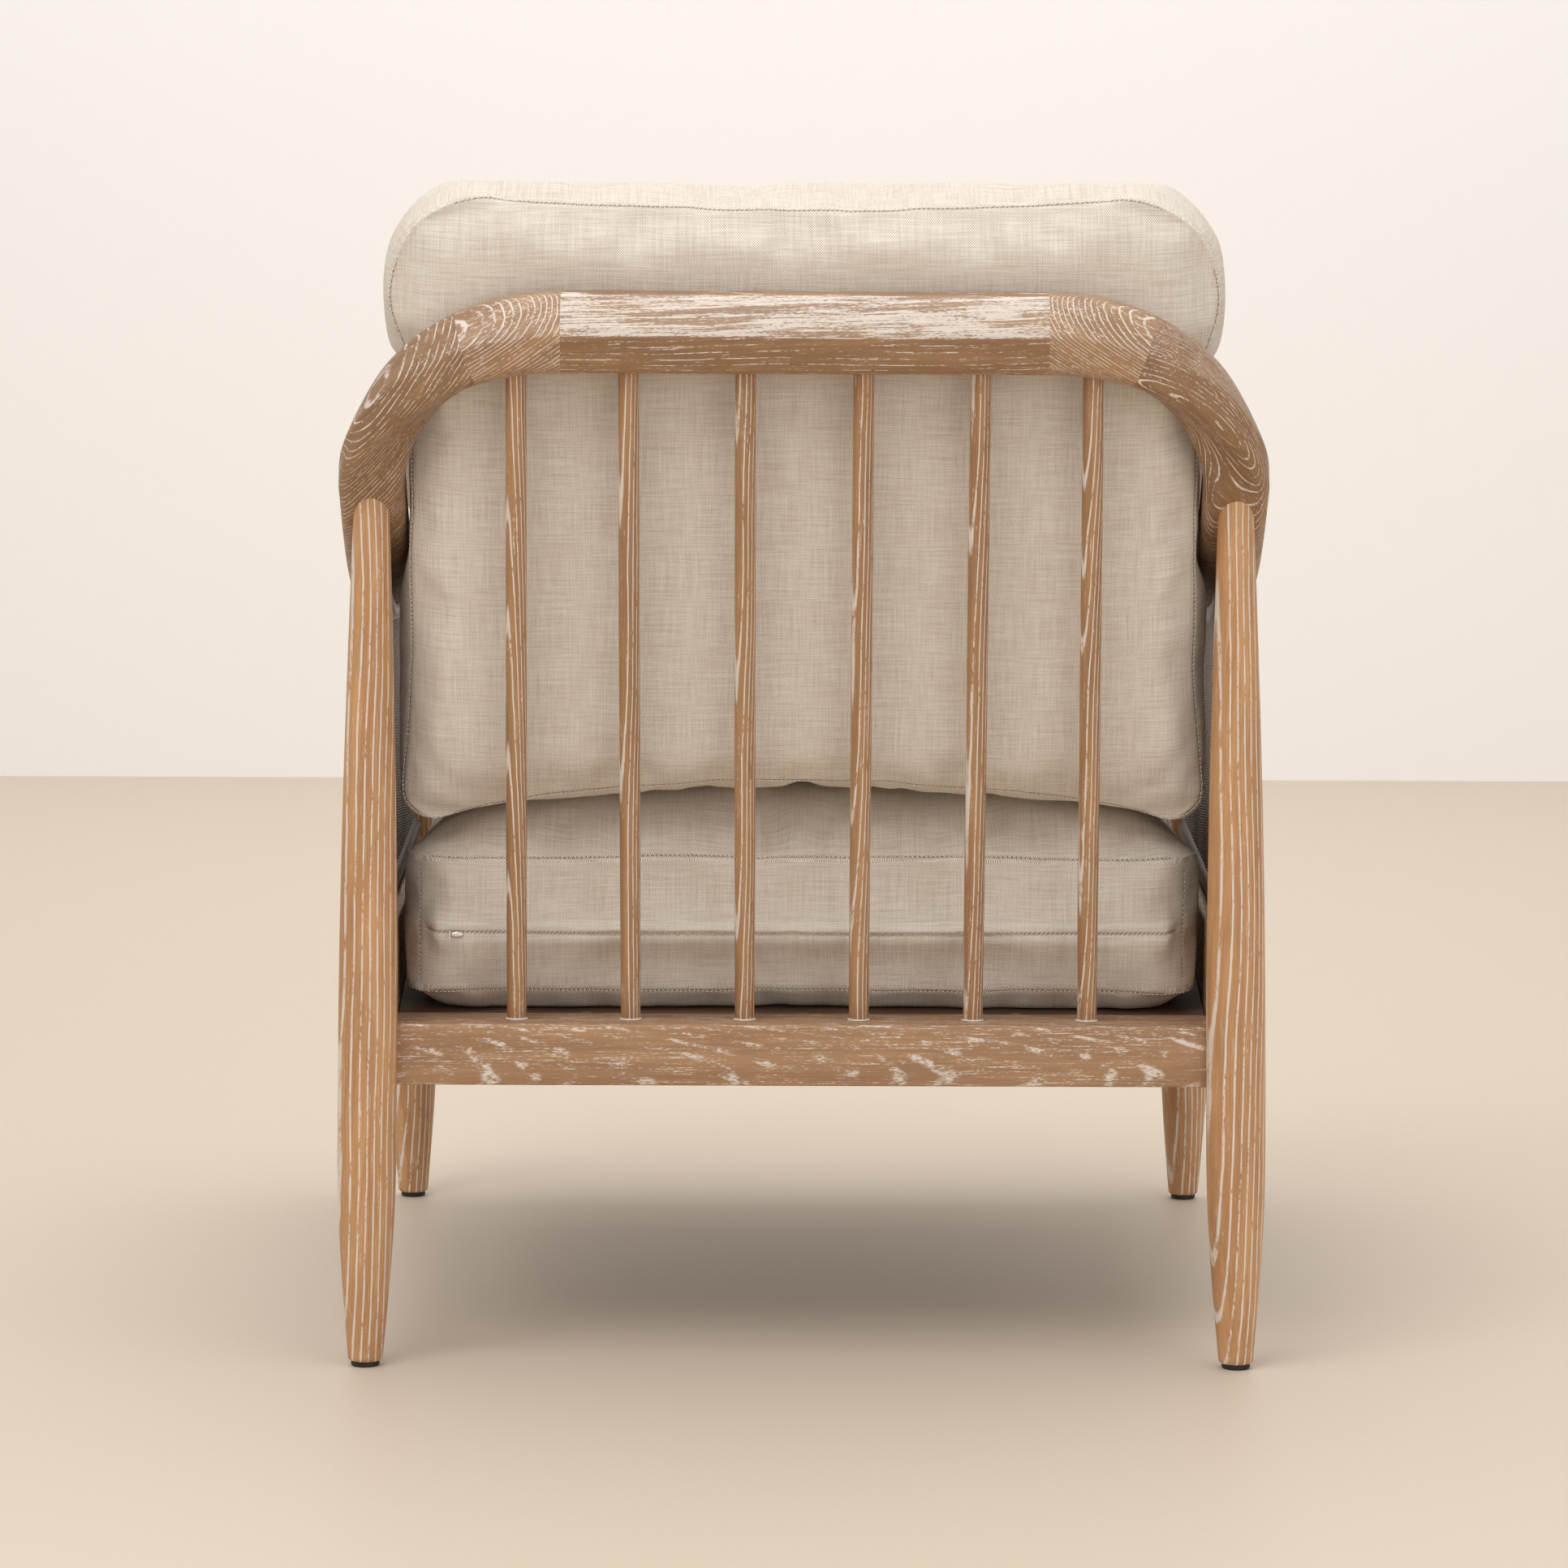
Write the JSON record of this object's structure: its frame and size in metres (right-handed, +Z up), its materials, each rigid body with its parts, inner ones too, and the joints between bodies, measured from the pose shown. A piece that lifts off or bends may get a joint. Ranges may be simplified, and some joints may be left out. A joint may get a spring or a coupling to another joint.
{
  "type": "wooden armchair",
  "caption": "Low wooden armchair with a spindle back, a bent crest rail that runs into the arms, woven cord sides and loose linen cushions.",
  "frame": {"origin": "on the floor, under the middle of the chair's bounding box", "axes": "+Z up, -Y the way the chair faces, +X the sitter's left; the chair is symmetrical across X"},
  "size_m": [0.6902, 0.7647, 0.822],
  "materials": {
    "oak": "lime-washed oak, satin",
    "plain_wood": "unfinished hardwood",
    "plywood": "dark stained plywood, matt",
    "cord": "twisted paper cord, dark brown grey with a soft gloss",
    "seat_linen": "natural linen basket weave",
    "back_linen": "natural linen basket weave",
    "foam": "open cell foam",
    "zip_tape": "woven zip tape",
    "zip_metal": "white coated",
    "screw_steel": "zinc plated",
    "glide": "black nylon"
  },
  "bodies": {
    "frame": {"rear_leg_left": "oak", "rear_leg_right": "oak", "front_leg_left": "oak", "front_leg_right": "oak", "glide_rear_left": "glide", "glide_rear_right": "glide", "glide_front_left": "glide", "glide_front_right": "glide", "crest_rail": "oak", "shoulder_left": "oak", "shoulder_right": "oak", "elbow_left": "oak", "elbow_right": "oak", "arm_left": "oak", "arm_right": "oak", "crest_dowels": "plain_wood", "shoulder_dowels": "plain_wood", "arm_dowels": "plain_wood", "spindle_1": "oak", "spindle_2": "oak", "spindle_3": "oak", "spindle_4": "oak", "spindle_5": "oak", "spindle_6": "oak", "rear_rail": "oak", "front_rail": "oak", "side_rail_left": "oak", "side_rail_right": "oak", "corner_block_rear_left": "plain_wood", "corner_block_rear_right": "plain_wood", "corner_block_front_left": "plain_wood", "corner_block_front_right": "plain_wood", "corner_screws": "screw_steel", "cleat_rear": "plain_wood", "cleat_front": "plain_wood", "cleat_left": "plain_wood", "cleat_right": "plain_wood", "seat_board": "plywood", "board_screws": "screw_steel", "weave_bar_upper_left": "oak", "weave_bar_upper_right": "oak", "weave_bar_lower_left": "oak", "weave_bar_lower_right": "oak", "cord_panel_left": "cord", "cord_panel_right": "cord"},
    "seat_cushion": {"seat_cushion_cover": "seat_linen", "seat_cushion_foam": "foam", "seat_zip_tape": "zip_tape"},
    "back_cushion": {"back_cushion_cover": "back_linen", "back_cushion_foam": "foam"},
    "zip_slider": {"seat_zip_slider": "zip_metal"}
  },
  "joints": [
    {"name": "seat_cushion_slide", "type": "slide", "parent": "frame", "child": "seat_cushion", "axis": [0, -0.9976, 0.0698], "range_m": [0, 0.65]},
    {"name": "back_cushion_lift", "type": "slide", "parent": "frame", "child": "back_cushion", "axis": [0, 0.1908, 0.9816], "range_m": [0, 0.45]},
    {"name": "zip_slider_run", "type": "slide", "parent": "seat_cushion", "child": "zip_slider", "axis": [-1, 0, 0], "range_m": [0, 0.47]}
  ]
}
